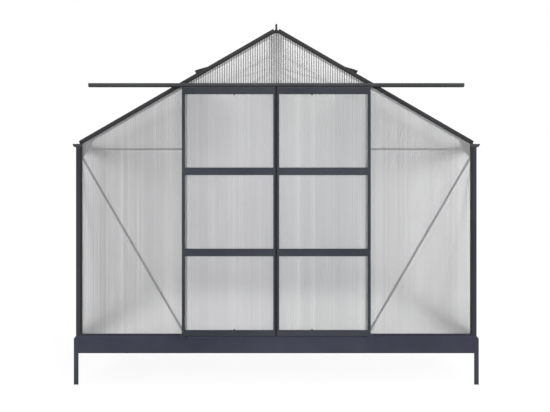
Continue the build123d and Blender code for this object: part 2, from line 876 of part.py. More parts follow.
def door_rollers(place):
    disc = Pos(place, axle_z) * (Circle(roller_radius) - Circle(axle_radius + axle_clearance))
    front = slab(disc, (leaf_middle - roller_reach, leaf_middle - roller_reach + roller_width))
    back = slab(disc, (leaf_middle + roller_reach - roller_width, leaf_middle + roller_reach))
    return [front, back]


def meeting_seal(depth):
    """A strip that closes its half of the gap between the leaves."""
    plan = rect((0, leaf_inner), (depth, depth + seal_depth))
    return upright(plan, (leaf_bottom + guide_slot_height, leaf_top))


hangers = [door_hanger(place) for place in hanger_places]
rollers = [roller for place in hanger_places for roller in door_rollers(place)]
leaf_nodes = {"stiles": door_stiles(), "rails": door_rails(), "panes": door_panes(),
              "hangers": hangers, "rollers": rollers}
for name, pieces in leaf_nodes.items():
    node("right_door_" + name, *pieces)
    node("left_door_" + name, *[left(piece) for piece in pieces])
node("right_door_seal", meeting_seal(leaf_back - seal_inset - seal_depth))
node("left_door_seal", left(meeting_seal(leaf_front + seal_inset)))

os.makedirs("parts", exist_ok=True)
for name, shape in parts.items():
    export_step(shape, os.path.join("parts", name + ".step"))
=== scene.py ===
import math

import bmesh
import bpy
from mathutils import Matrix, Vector


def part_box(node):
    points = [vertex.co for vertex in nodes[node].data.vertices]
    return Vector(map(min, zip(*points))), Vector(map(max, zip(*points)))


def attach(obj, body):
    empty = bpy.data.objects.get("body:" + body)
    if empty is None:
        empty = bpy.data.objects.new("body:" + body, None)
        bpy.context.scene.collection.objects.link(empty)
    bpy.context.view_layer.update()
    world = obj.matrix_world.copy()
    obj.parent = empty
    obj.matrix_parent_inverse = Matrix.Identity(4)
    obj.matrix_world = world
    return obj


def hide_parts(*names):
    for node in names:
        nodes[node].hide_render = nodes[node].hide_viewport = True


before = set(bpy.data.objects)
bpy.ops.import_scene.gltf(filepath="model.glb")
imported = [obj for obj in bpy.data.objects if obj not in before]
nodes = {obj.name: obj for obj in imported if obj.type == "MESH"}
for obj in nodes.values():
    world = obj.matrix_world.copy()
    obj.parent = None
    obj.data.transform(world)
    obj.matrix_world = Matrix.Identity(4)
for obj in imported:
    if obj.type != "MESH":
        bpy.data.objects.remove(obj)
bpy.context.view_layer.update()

# Places that the pieces below share, in metres, most of them read off the CAD. The front faces -Y.
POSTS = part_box("corner_posts")
FRONT_Y = POSTS[0].y
REAR_Y = POSTS[1].y
HALF_WALL = POSTS[1].x
BASE_TOP = POSTS[0].z
POST_TOP = POSTS[1].z
RIDGE_FIN = 0.019
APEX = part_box("ridge_bar")[1].z - RIDGE_FIN
PITCH = math.radians(30)
VENT_ANGLE = math.radians(15.7)
BAR_DEPTH = 0.024
REAR_STUD = 0.608
BAYS = 5
BAY = (REAR_Y - FRONT_Y - BAR_DEPTH) / BAYS
STUD_PLACES = [FRONT_Y + BAR_DEPTH / 2 + BAY * i for i in range(1, BAYS)]

# Inner faces of the flat pieces, counted from the outer face of their wall, and the inset of a brace's end.
PLATE_INNER = 0.0126
TIE_INNER = 0.0156
BRACE_INNER = 0.027
BRACE_INSET = 0.0199

# Widths of the outer lips that hold the sheets.
POST_LIP = 0.038
STUD_LIP = 0.012
SILL_LIP = 0.012
EAVES_LIP = 0.015
RAFTER_LIP = 0.024

# Flutes of the sheets: their pitch, the facets of one flute and the dip of the skins at a rib.
FLUTE = 0.01475
FLUTE_FACETS = 6
FLUTE_DIP = 0.0004

# How far a small piece sinks into its seat, and from which angle an edge is shaded sharp.
SINK = 0.0005
SHARP = math.radians(32)

# Tolerances of the mesh work: welded corners, faces in one plane, equal places and the least step beside a corner.
WELD = 1e-6
FLAT = 1e-5
SAME = 1e-7
NEAR_CORNER = 4e-4

# Levels at which the looks change: the top of the dust, the door head, the splashed foot of the walls; and the
# places along Y between which the front end begins.
DUST_TOP = 0.42
DOOR_HEAD = (1.84, 1.88)
SPLASHED = (0.55, 0.33)
FRONT_END = (-1.0, -1.1)

# Colours as read off a screen, and the range in which most of a noise texture lies.
SOIL = (128, 124, 118)
PALE_DUST = (190, 190, 190)
BASE_TONE = (59, 62, 75)
NOISE_RANGE = (0.3, 0.7)


# Materials


def linear(red, green, blue):
    """A colour as it is read off a screen, 0 to 255, as the shader wants it."""
    channels = []
    for value in (red, green, blue):
        c = value / 255
        channels.append(c / 12.92 if c <= 0.04045 else ((c + 0.055) / 1.055) ** 2.4)
    return (*channels, 1.0)


def grey(level):
    return (level, level, level, 1)


def shades(tone, spread):
    """A darker and a lighter shade of one tone."""
    return linear(*[value - spread for value in tone]), linear(*[value + spread for value in tone])


WHITE = grey(1)


class Paint:
    """One procedural material, built up node by node."""

    def __init__(self, name):
        self.material = bpy.data.materials.new(name)
        self.material.use_nodes = True
        self.tree = self.material.node_tree
        self.shader = self.tree.nodes["Principled BSDF"]
        self.place = self.add("ShaderNodeTexCoord").outputs["Object"]
        self.surface = self.shader.outputs["BSDF"]

    def add(self, kind, **settings):
        node = self.tree.nodes.new(kind)
        for key, value in settings.items():
            setattr(node, key, value)
        return node

    def link(self, source, target):
        self.tree.links.new(source, target)

    def set(self, **values):
        for key, value in values.items():
            self.shader.inputs[key.replace("_", " ")].default_value = value

    def stretched(self, scale):
        mapping = self.add("ShaderNodeMapping")
        mapping.inputs["Scale"].default_value = scale
        self.link(self.place, mapping.inputs["Vector"])
        return mapping.outputs["Vector"]

    def noise(self, scale, detail=3.0, vector=None):
        node = self.add("ShaderNodeTexNoise")
        node.inputs["Scale"].default_value = scale
        node.inputs["Detail"].default_value = detail
        self.link(vector or self.place, node.inputs["Vector"])
        return node.outputs["Fac"]

    def wave(self, axis, pitch):
        node = self.add("ShaderNodeTexWave", wave_type="BANDS", bands_direction=axis, wave_profile="SIN")
        node.inputs["Scale"].default_value = math.pi / 10 / pitch
        self.link(self.place, node.inputs["Vector"])
        return node.outputs["Fac"]

    def bands(self, axis, scale):
        """Random levels in bands of uneven width across one axis, each fading here and there."""
        axes = self.add("ShaderNodeSeparateXYZ")
        self.link(self.place, axes.inputs["Vector"])
        node = self.add("ShaderNodeTexVoronoi", voronoi_dimensions="1D")
        node.inputs["Scale"].default_value = scale
        self.link(axes.outputs[axis], node.inputs["W"])
        fade = self.span(self.noise(1.0, 2.0, self.stretched((9.0, 9.0, 1.1))), 0.0, 1.0, (0.3, 0.6))
        return self.blend("MIX", fade, grey(0.5), node.outputs["Color"])

    def ramp(self, factor, *stops):
        node = self.add("ShaderNodeValToRGB")
        elements = node.color_ramp.elements
        while len(elements) < len(stops):
            elements.new(0.5)
        for element, (position, colour) in zip(elements, stops):
            element.position = position
            element.color = colour
        self.link(factor, node.inputs["Fac"])
        return node.outputs["Color"]

    def span(self, factor, low, high, source=(0.0, 1.0)):
        node = self.add("ShaderNodeMapRange")
        node.inputs["From Min"].default_value = source[0]
        node.inputs["From Max"].default_value = source[1]
        node.inputs["To Min"].default_value = low
        node.inputs["To Max"].default_value = high
        self.link(factor, node.inputs["Value"])
        return node.outputs["Result"]

    def blend(self, kind, factor, first, second):
        node = self.add("ShaderNodeMix", data_type="RGBA", blend_type=kind)
        targets = node.inputs["Factor"], node.inputs[6], node.inputs[7]
        for value, target in zip((factor, first, second), targets):
            if isinstance(value, bpy.types.NodeSocket):
                self.link(value, target)
            else:
                target.default_value = value
        return node.outputs[2]

    def sum(self, operation, first, second):
        node = self.add("ShaderNodeMath", operation=operation)
        for value, target in zip((first, second), node.inputs):
            if isinstance(value, bpy.types.NodeSocket):
                self.link(value, target)
            else:
                target.default_value = value
        return node.outputs["Value"]

    def along(self, axis, low, high):
        """0 before one place on an axis and 1 after another."""
        axes = self.add("ShaderNodeSeparateXYZ")
        self.link(self.place, axes.inputs["Vector"])
        return self.span(axes.outputs[axis], 0.0, 1.0, (low, high))

    def height(self, low, high):
        return self.along("Z", low, high)

    def bump(self, factor, distance, strength):
        node = self.add("ShaderNodeBump")
        node.inputs["Distance"].default_value = distance
        node.inputs["Strength"].default_value = strength
        self.link(factor, node.inputs["Height"])
        return node.outputs["Normal"]

    def colour(self, source):
        self.link(source, self.shader.inputs["Base Color"])

    def roughness(self, source):
        self.link(source, self.shader.inputs["Roughness"])

    def normal(self, source):
        self.link(source, self.shader.inputs["Normal"])

    def mix_in(self, other, share):
        """Gives a share of the surface to another shader."""
        both = self.add("ShaderNodeMixShader")
        if isinstance(share, bpy.types.NodeSocket):
            self.link(share, both.inputs["Fac"])
        else:
            both.inputs["Fac"].default_value = share
        self.link(self.surface, both.inputs[1])
        self.link(other.outputs["BSDF"], both.inputs[2])
        self.surface = both.outputs["Shader"]
        self.link(self.surface, self.tree.nodes["Material Output"].inputs["Surface"])


def powder_coat(name, tone, dust=0.0, underside_shade=None, doorway_light=None):
    """Satin powder coat: a fine orange peel, slow changes of tone and a little dust low down. A bar that is given
    underside shade as two levels and two shares goes from the first share at the lower level to the second at the
    upper: painted shade along its lower edge, and a painted highlight on its top where the upper share is above 1.
    A base that is given half a doorway and a level is painted lighter above that level in the doorway: painted light
    that lifts the shade under the door leaves."""
    paint = Paint(name)
    dark, light = shades(tone, 5)
    slow = paint.noise(2.3, 4.0)
    base = paint.ramp(slow, (0.35, dark), (0.65, light))
    speck = paint.noise(650.0, 2.0)
    base = paint.blend("MULTIPLY", 1.0, base, paint.ramp(speck, (0.3, grey(0.88)), (0.7, grey(1.1))))
    if dust:
        low = paint.sum("SUBTRACT", 1.0, paint.height(0.0, DUST_TOP))
        patch = paint.noise(14.0, 5.0, paint.stretched((1.0, 1.0, 0.35)))
        amount = paint.span(paint.sum("MULTIPLY", low, patch), 0.0, dust, (0.15, 0.75))
        base = paint.blend("MIX", amount, base, linear(*SOIL))
    # Painted shade along the lower edge of a bar, and on the track also a painted highlight on its top.
    if underside_shade:
        low, high, dark_share, light_share = underside_shade
        shares = paint.ramp(paint.height(low, high), (0.0, grey(dark_share)), (1.0, grey(light_share)))
        base = paint.blend("MULTIPLY", 1.0, base, shares)
    # Painted light on the base's top in the doorway, which lifts the shade under the door leaves.
    if doorway_light:
        half, level = doorway_light
        fade, edge, paler = 0.004, 0.02, 1.36
        amount = paint.height(level, level + fade)
        for axis, low, high in (("X", -half - edge, -half), ("X", half + edge, half), ("Y", *FRONT_END)):
            amount = paint.sum("MULTIPLY", amount, paint.along(axis, low, high))
        base = paint.blend("MIX", amount, base, linear(*[value * paler for value in tone]))
    paint.colour(base)
    paint.roughness(paint.span(paint.noise(38.0, 4.0), 0.44, 0.60, NOISE_RANGE))
    paint.normal(paint.bump(speck, 0.0002, 0.22))
    paint.set(IOR=1.5, Specular_IOR_Level=0.12)
    return paint.material


def twin_wall(name, axis, rib, clear, tint, upper=None, opal=0.0, ridge_lightening=None, splash=0.0):
    """Clear twin-wall sheet: ribs at their real pitch, which spread what lies behind them, and uneven draw lines.
    Above the door head the upper rib level, clarity and straight-through share take over, where they are given. An
    opal share of the light is spread evenly. The sheets of a roof are tinted lighter and more opal towards the
    ridge:
    painted light that brightens the gable seen through the front. A share of dust is splashed on the feet of the
    walls."""
    paint = Paint(name)
    flute = paint.wave(axis, FLUTE)
    wide = paint.bands(axis, 30.0)
    narrow = paint.bands(axis, 118.0)
    shade = paint.ramp(flute, (0.0, grey(rib)), (0.5, WHITE))
    paint.set(IOR=1.4, Transmission_Weight=clear)
    lined = 1.0
    haze = paint.span(paint.noise(60.0, 3.0), 0.30, 0.35, NOISE_RANGE)
    if upper:
        high = paint.height(*DOOR_HEAD)
        low, lift, straight = upper
        shade = paint.blend("MIX", high, shade, paint.ramp(flute, (0.03, grey(low)), (0.3, WHITE)))
        paint.link(paint.span(high, clear, lift), paint.shader.inputs["Transmission Weight"])
        lined = paint.span(high, 1.0, 0.2)
    tone = linear(*tint)
    # Painted light: the roof sheets grow lighter and more opal towards the ridge, which brightens the gable seen
    # through the front.
    if ridge_lightening:
        start, end, ridge_tint, ridge_opal = ridge_lightening
        toward_ridge = paint.height(start, end)
        tone = paint.ramp(toward_ridge, (0.0, linear(*tint)), (1.0, linear(*ridge_tint)))
    base = paint.blend("MULTIPLY", 1.0, tone, shade)
    lines = paint.ramp(wide, (0.35, (0.89, 0.89, 0.895, 1)), (0.95, WHITE))
    base = paint.blend("MULTIPLY", lined, base, lines)
    lines = paint.ramp(narrow, (0.5, grey(0.87)), (0.95, WHITE))
    base = paint.blend("MULTIPLY", lined, base, lines)
    paint.colour(base)
    paint.roughness(haze)
    paint.normal(paint.bump(flute, 0.0006, 0.5))
    if opal:
        milk = paint.add("ShaderNodeBsdfTranslucent")
        paint.link(paint.blend("MIX", 0.3, WHITE, base), milk.inputs["Color"])
        paint.mix_in(milk, paint.span(toward_ridge, opal, ridge_opal) if ridge_lightening else opal)
    if upper:
        gap = paint.add("ShaderNodeBsdfTransparent")
        paint.link(base, gap.inputs["Color"])
        paint.mix_in(gap, paint.span(high, 0.0, straight))
    if splash:
        dust = paint.add("ShaderNodeBsdfDiffuse")
        dust.inputs["Color"].default_value = linear(*PALE_DUST)
        foot = paint.height(*SPLASHED)
        patch = paint.span(paint.noise(9.0, 4.0), 0.8, 1.2, NOISE_RANGE)
        paint.mix_in(dust, paint.sum("MULTIPLY", paint.sum("MULTIPLY", foot, patch), splash))
    return paint.material


def rubber(name):
    paint = Paint(name)
    grain = paint.noise(420.0, 3.0)
    paint.colour(paint.ramp(grain, (0.3, linear(16, 16, 18)), (0.7, linear(28, 28, 30))))
    paint.roughness(paint.span(paint.noise(90.0), 0.66, 0.82, NOISE_RANGE))
    paint.normal(paint.bump(grain, 0.0002, 0.35))
    return paint.material


def moulded_nylon(name, tone):
    paint = Paint(name)
    grain = paint.noise(900.0, 2.0)
    dark, light = shades(tone, 4)
    paint.colour(paint.ramp(paint.noise(30.0, 3.0), (0.35, dark), (0.65, light)))
    paint.roughness(paint.span(grain, 0.44, 0.58, NOISE_RANGE))
    paint.normal(paint.bump(grain, 0.0001, 0.25))
    return paint.material


def zinc(name):
    """Zinc plate: a bright grey metal with cloudy patches and fine scratches."""
    paint = Paint(name)
    cloud = paint.noise(75.0, 5.0)
    paint.colour(paint.ramp(cloud, (0.3, linear(142, 143, 146)), (0.7, linear(182, 183, 187))))
    scratch = paint.noise(1.0, 3.0, paint.stretched((30.0, 30.0, 900.0)))
    paint.roughness(paint.span(scratch, 0.28, 0.46, NOISE_RANGE))
    paint.normal(paint.bump(scratch, 0.0001, 0.2))
    paint.set(Metallic=0.9)
    return paint.material


FRAME_PAINT = powder_coat("frame_powder_coat", (56, 56, 67))
ROOF_PAINT = powder_coat("roof_powder_coat", (55, 55, 58))
# The track is painted darker along its lower edge and lighter on top: painted shade and painted highlight.
TRACK_PAINT = powder_coat("track_powder_coat", (68, 69, 71), underside_shade=(1.858, 1.878, 0.55, 1.25))
DOOR_PAINT = powder_coat("door_powder_coat", (57, 61, 68))
BASE_PAINT = powder_coat("base_powder_coat", BASE_TONE, dust=0.08)
# Base rails: painted shade along their lower edge, and painted light on their top in the doorway.
RAIL_PAINT = powder_coat("base_rail_powder_coat", BASE_TONE, dust=0.08, underside_shade=(0.197, 0.203, 0.4, 1.0),
                         doorway_light=(0.575, 0.289))
FRONT_SHEET = twin_wall("front_twin_wall_sheet", "X", 0.95, 0.82, (255, 255, 255), upper=(0.08, 0.54, 0.40),
                        splash=0.22)
REAR_SHEET = twin_wall("rear_twin_wall_sheet", "X", 0.90, 0.90, (254, 254, 255), opal=0.45)
# Painted shade and light: the same sheet is tinted darker and less opal on the left wall than on the right, as if
# light fell from the right.
SIDE_SHEETS = {"left": twin_wall("left_twin_wall_sheet", "Y", 0.90, 0.90, (236, 236, 238), opal=0.66),
               "right": twin_wall("right_twin_wall_sheet", "Y", 0.90, 0.90, (254, 254, 255), opal=0.72)}
# The roof sheet is painted lighter and more opal towards the ridge, a painted light for the gable.
ROOF_SHEET = twin_wall("roof_twin_wall_sheet", "Y", 0.90, 0.90, (226, 226, 228), opal=0.42,
                       ridge_lightening=(1.90, 2.02, (255, 255, 255), 0.85))
DOOR_SHEETS = {"left": twin_wall("left_door_twin_wall_sheet", "X", 0.95, 0.81, (248, 248, 250), splash=0.16),
               "right": twin_wall("right_door_twin_wall_sheet", "X", 0.95, 0.81, (245, 248, 247), splash=0.16)}
SEAL_RUBBER = rubber("seal_rubber")
CAP_NYLON = moulded_nylon("cap_nylon", (44, 45, 50))
BRUSH_PILE = moulded_nylon("brush_pile", (62, 62, 68))
ROLLER_NYLON = moulded_nylon("roller_nylon", (205, 203, 196))
ZINC_PLATE = zinc("zinc_plate")

# The look of each material slot, and of the nodes that differ from their slot.
SLOT_LOOKS = {"frame_paint": FRAME_PAINT, "door_paint": DOOR_PAINT, "steel_base": BASE_PAINT,
              "glazing_sheet": ROOF_SHEET, "rubber_seal": SEAL_RUBBER, "nylon": CAP_NYLON, "zinc_plate": ZINC_PLATE}
NODE_LOOKS = {"left_door_rollers": ROLLER_NYLON, "right_door_rollers": ROLLER_NYLON,
              "left_door_hangers": DOOR_PAINT, "right_door_hangers": DOOR_PAINT,
              "base_end_rails": RAIL_PAINT, "base_side_rails": RAIL_PAINT, "door_track": TRACK_PAINT,
              "gable_rafters": ROOF_PAINT, "ridge_bar": ROOF_PAINT, "roof_bars": ROOF_PAINT,
              "vent_frames": ROOF_PAINT, "vent_sills": ROOF_PAINT}

for name, obj in nodes.items():
    look = NODE_LOOKS.get(name) or SLOT_LOOKS[obj.data.materials[0].name]
    obj.data.materials.clear()
    obj.data.materials.append(look)


# Small closed shapes gathered into one mesh


class Build:
    """Gathers many small closed shapes into one mesh."""

    def __init__(self):
        self.points = []
        self.faces = []

    def add(self, points, faces):
        first = len(self.points)
        self.points += [tuple(point) for point in points]
        self.faces += [tuple(first + i for i in face) for face in faces]

    def lathe(self, origin, axis, profile, segments=12):
        """A turned shape on an axis. Each step is a radius, a height and how six-sided it is."""
        w = Vector(axis).normalized()
        u = w.orthogonal().normalized()
        v = w.cross(u)
        points = [Vector(origin) + w * profile[0][1]]
        for radius, height, hexagon in profile[1:-1]:
            for i in range(segments):
                angle = 2 * math.pi * i / segments
                corner = 1 / math.cos((angle + 1e-9) % (math.pi / 3) - math.pi / 6)
                r = radius * (1 + hexagon * (corner - 1))
                points.append(Vector(origin) + u * (r * math.cos(angle)) + v * (r * math.sin(angle))
                              + w * height)
        points.append(Vector(origin) + w * profile[-1][1])
        faces = []
        rings = len(profile) - 2
        for i in range(segments):
            j = (i + 1) % segments
            faces.append((0, 1 + j, 1 + i))
            for k in range(rings - 1):
                a, b = 1 + k * segments, 1 + (k + 1) * segments
                faces.append((a + i, a + j, b + j, b + i))
            end = 1 + (rings - 1) * segments
            faces.append((end + i, end + j, len(points) - 1))
        self.add(points, faces)

    def nut(self, origin, axis):
        """A washer, a six-sided nut and the end of its bolt."""
        washer = [(0, -SINK, 0), (0.0058, -SINK, 0), (0.0062, -0.0001, 0), (0.0062, 0.0008, 0), (0.0058, 0.0012, 0)]
        nut = [(0.0050, 0.0012, 1), (0.0050, 0.0050, 1), (0.0047, 0.0058, 0.2)]
        bolt = [(0.0030, 0.0058, 0), (0.0030, 0.0080, 0), (0.0024, 0.0086, 0), (0, 0.0086, 0)]
        self.lathe(origin, axis, washer + nut + bolt)

    def screw(self, origin, axis, radius=0.0042):
        """A pan head with a six-sided socket."""
        h = radius * 0.62
        head = [(0, -SINK, 0), (radius, -SINK, 0), (radius, 0.25 * h, 0), (0.93 * radius, 0.6 * h, 0),
                (0.72 * radius, 0.9 * h, 0), (0.45 * radius, h, 0)]
        socket = [(0.36 * radius, h, 1), (0.34 * radius, 0.45 * h, 1), (0, 0.4 * h, 0)]
        self.lathe(origin, axis, head + socket)

    def dome(self, origin, axis, radius=0.0075):
        """The low round head of a coach bolt."""
        h = radius * 0.4
        self.lathe(origin, axis, [(0, -SINK, 0), (radius, -SINK, 0), (radius, 0.2 * h, 0),
                                  (0.9 * radius, 0.55 * h, 0), (0.65 * radius, 0.84 * h, 0),
                                  (0.35 * radius, 0.96 * h, 0), (0, h, 0)])

    def loft(self, sections):
        """A closed shape through outlines that have the same number of points."""
        n = len(sections[0])
        points = [point for section in sections for point in section]
        faces = [tuple(reversed(range(n))), tuple(range(len(points) - n, len(points)))]
        for k in range(len(sections) - 1):
            for i in range(n):
                j = (i + 1) % n
                faces.append((k * n + i, k * n + j, (k + 1) * n + j, (k + 1) * n + i))
        self.add(points, faces)

    def finish(self, name, body, look):
        mesh = bpy.data.meshes.new(name)
        mesh.from_pydata(self.points, [], self.faces)
        mesh.validate()
        tidy = bmesh.new()
        tidy.from_mesh(mesh)
        bmesh.ops.recalc_face_normals(tidy, faces=tidy.faces)
        tidy.to_mesh(mesh)
        tidy.free()
        mesh.shade_smooth()
        mesh.set_sharp_from_angle(angle=SHARP)
        mesh.materials.append(look)
        piece = bpy.data.objects.new(name, mesh)
        bpy.context.scene.collection.objects.link(piece)
        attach(piece, body)
        return piece


# Twin-wall sheets: real flutes instead of the plain CAD slabs


def slope_axes(angle, side):
    """Across, along and outward directions of a sheet that falls away from the ridge."""
    fall, rise = math.sin(angle), math.cos(angle)
    return Vector((0, 1, 0)), Vector((side * rise, 0, -fall)), Vector((side * fall, 0, rise))


GABLE_AXES = (Vector((1, 0, 0)), Vector((0, 0, 1)), Vector((0, 1, 0)))
SIDE_AXES = (Vector((0, 1, 0)), Vector((0, 0, 1)), Vector((1, 0, 0)))


def separate_solids(obj):
    """The corners of the flat faces of each solid in a CAD node. A dict keeps the faces in the same order in each
    run."""
    mesh = bmesh.new()
    mesh.from_mesh(obj.data)
    bmesh.ops.remove_doubles(mesh, verts=mesh.verts, dist=WELD)
    todo = dict.fromkeys(mesh.faces)
    solids = []
    while todo:
        front = [todo.popitem()[0]]
        faces = []
        while front:
            face = front.pop()
            faces.append(face)
            for edge in face.edges:
                for other in edge.link_faces:
                    if other in todo:
                        del todo[other]
                        front.append(other)
        solids.append([[vert.co.copy() for vert in face.verts] for face in faces])
    mesh.free()
    return solids


def sheet_outline(faces, axes):
    """Segments of a sheet's own flat face, in its across and along directions, and its depth range."""
    across, along, out = axes
    depths = [point.dot(out) for face in faces for point in face]
    low, high = min(depths), max(depths)
    segments = []
    for face in faces:
        if all(abs(point.dot(out) - low) < FLAT for point in face):
            flat = [(point.dot(across), point.dot(along)) for point in face]
            segments += list(zip(flat, flat[1:] + flat[:1]))
    return segments, low, high


def reach_along(segments, place):
    """Where a sheet starts and ends along its flutes at one place across it."""
    found = []
    for (u0, v0), (u1, v1) in segments:
        if min(u0, u1) - SAME <= place <= max(u0, u1) + SAME:
            if abs(u1 - u0) < SAME:
                found += [v0, v1]
            else:
                found.append(v0 + (v1 - v0) * (place - u0) / (u1 - u0))
    return min(found), max(found)


def fluted_sheets(name, node, axes_of, look, body):
    """All the sheets of one node, each a closed mesh whose skins dip a little at every rib."""
    build = Build()
    for faces in separate_solids(nodes[node]):
        middle = sum((point for face in faces for point in face), Vector()) / sum(len(face) for face in faces)
        axes = axes_of(1 if middle.x > 0 else -1)
        across, along, out = axes
        segments, low, high = sheet_outline(faces, axes)
        corners = sorted({round(u, 6) for segment in segments for u, _ in segment})
        step = FLUTE / FLUTE_FACETS
        count = range(math.ceil(corners[0] / step), math.floor(corners[-1] / step) + 1)
        between = [i * step for i in count if min(abs(i * step - c) for c in corners) > NEAR_CORNER]
        places = sorted(corners + between)
        rows = []
        for place in places:
            start, end = reach_along(segments, place)
            dip = FLUTE_DIP * (0.5 + 0.5 * math.cos(2 * math.pi * place / FLUTE))
            for depth in (low + dip, high - dip):
                for reach in (start, end):
                    rows.append(across * place + along * reach + out * depth)
        faces_out = []
        for i in range(len(places) - 1):
            a, b = 4 * i, 4 * i + 4
            faces_out += [(a, b, b + 1, a + 1), (a + 2, a + 3, b + 3, b + 2),
                          (a, a + 2, b + 2, b), (a + 1, b + 1, b + 3, a + 3)]
        last = 4 * len(places) - 4
        faces_out += [(0, 1, 3, 2), (last, last + 2, last + 3, last + 1)]
        build.add(rows, faces_out)
    piece = build.finish(name, body, look)
    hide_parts(node)


# Fasteners and small fittings


def roof_z(x, depth):
    """The height of a roof layer at one place across the greenhouse."""
    return APEX - depth / math.cos(PITCH) - abs(x) * math.tan(PITCH)


def roof_point(side, run, depth):
    """The place across and the height of a point that lies some way down the roof and below its face."""
    fall, rise = math.sin(PITCH), math.cos(PITCH)
    return (side * (run * rise - depth * fall), APEX - run * fall - depth * rise)


def gable_ends():
    """The outer face and the inward direction of the front and rear walls."""
    return (FRONT_Y, 1), (REAR_Y, -1)


def make_wall_nuts():
    """Nuts on the studs of the side and rear walls, and at both ends of the braces."""
    build = Build()
    stud_levels = (BASE_TOP + 0.055, POST_TOP - 0.045)
    side_head, side_foot = POST_TOP - 0.087, BASE_TOP + 0.014
    end_head, end_foot = POST_TOP - 0.041, BASE_TOP - 0.0065
    front_foot_x = 0.5685
    rear_foot, rear_top, middle_top = BASE_TOP + 0.06, 1.79, 2.11
    for side in (-1, 1):
        inward = (-side, 0, 0)
        for y in STUD_PLACES:
            for z in stud_levels:
                build.nut((side * (HALF_WALL - BAR_DEPTH), y, z), inward)
        for y_head, y_foot in ((FRONT_Y + BRACE_INSET, STUD_PLACES[0]), (REAR_Y - BRACE_INSET, STUD_PLACES[-1])):
            build.nut((side * (HALF_WALL - BRACE_INNER), y_head, side_head), inward)
            build.nut((side * (HALF_WALL - BRACE_INNER), y_foot, side_foot), inward)
    for (face, into), foot_x in zip(gable_ends(), (front_foot_x, REAR_STUD)):
        for side in (-1, 1):
            build.nut((side * (HALF_WALL - BRACE_INSET), face + into * BRACE_INNER, end_head), (0, into, 0))
            build.nut((side * foot_x, face + into * BRACE_INNER, end_foot), (0, into, 0))
    for x, top in ((-REAR_STUD, rear_top), (0.0, middle_top), (REAR_STUD, rear_top)):
        for z in (rear_foot, top):
            build.nut((x, REAR_Y - BAR_DEPTH, z), (0, -1, 0))
    build.finish("wall_nuts", "frame", ZINC_PLATE)


def make_roof_nuts():
    """Nuts near both ends of the roof bars."""
    build = Build()
    runs = (0.16, 1.32)
    for side in (-1, 1):
        inward = (-side * math.sin(PITCH), 0, -math.cos(PITCH))
        for y in STUD_PLACES:
            for run in runs:
                x, z = roof_point(side, run, BAR_DEPTH)
                build.nut((x, y, z), inward)
    build.finish("roof_bar_nuts", "frame", ZINC_PLATE)


def make_plate_screws():
    """Screws in the gussets at the eaves and the ridge, and at both ends of the gable ties."""
    build = Build()
    post_x = HALF_WALL - 0.0313
    post_levels = (POST_TOP - 0.058, POST_TOP - 0.030)
    rafter_places = (1.163, 1.195, 0.030, 0.058)
    rafter_depth = 0.029
    tie_outer = HALF_WALL - 0.052
    tie_inners = (0.590, 0.632)
    tie_level = POST_TOP - 0.014
    for (face, into), tie_inner in zip(gable_ends(), tie_inners):
        axis = (0, into, 0)
        for side in (-1, 1):
            for z in post_levels:
                build.screw((side * post_x, face + into * PLATE_INNER, z), axis)
            for x in rafter_places:
                build.screw((side * x, face + into * PLATE_INNER, roof_z(x, rafter_depth)), axis)
            for x in (tie_outer, tie_inner):
                build.screw((side * x, face + into * TIE_INNER, tie_level), axis)
    build.finish("plate_screws", "frame", ZINC_PLATE)


def make_sill_screws():
    """Screws that hold the sills and the threshold down on the base."""
    build = Build()
    up = (0, 0, 1)
    z = BASE_TOP + 0.002
    sill_inset, threshold_inset = 0.018, 0.013
    front_places, rear_places = (0.74, 1.06), (0.30, 0.91)
    threshold_places = (-0.42, -0.14, 0.14, 0.42)
    bays = [(a + b) / 2 for a, b in zip((FRONT_Y, *STUD_PLACES), (*STUD_PLACES, REAR_Y))]
    for side in (-1, 1):
        for y in bays:
            build.screw((side * (HALF_WALL - sill_inset), y, z), up)
        for x in front_places:
            build.screw((side * x, FRONT_Y + sill_inset, z), up)
        for x in rear_places:
            build.screw((side * x, REAR_Y - sill_inset, z), up)
    for x in threshold_places:
        build.screw((x, FRONT_Y + threshold_inset, z), up)
    build.finish("sill_screws", "frame", ZINC_PLATE)


def make_stake_bolts():
    """Two coach bolts through each stake, with their nuts on the inner side."""
    heads = Build()
    nuts = Build()
    leg_middle, grip = 0.0155, 0.004
    levels = (0.222, 0.264)
    low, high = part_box("ground_stakes")
    for side, edge in ((-1, low.x), (1, high.x)):
        for y in (low.y + leg_middle, high.y - leg_middle):
            for z in levels:
                heads.dome((edge, y, z), (side, 0, 0))
                nuts.nut((edge - side * grip, y, z), (-side, 0, 0))
    heads.finish("stake_bolt_heads", "frame", BASE_PAINT)
    nuts.finish("stake_bolt_nuts", "frame", ZINC_PLATE)


def make_vent_screws():
    """Screws in the outer face of each vent's frame."""
    build = Build()
    low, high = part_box("vent_frames")
    hinge_x, hinge_z = 0.0083, APEX - 0.0021
    runs = (0.030, 0.300, 0.565)
    inset, lift = 0.012, 0.016
    for side in (-1, 1):
        _, along, out = slope_axes(VENT_ANGLE, side)
        start = Vector((side * hinge_x, 0, hinge_z))
        for run in runs:
            for y in (low.y + inset, high.y - inset):
                spot = start + along * run + out * lift
                build.screw((spot.x, y, spot.z), out)
    build.finish("vent_screws", "frame", FRAME_PAINT)


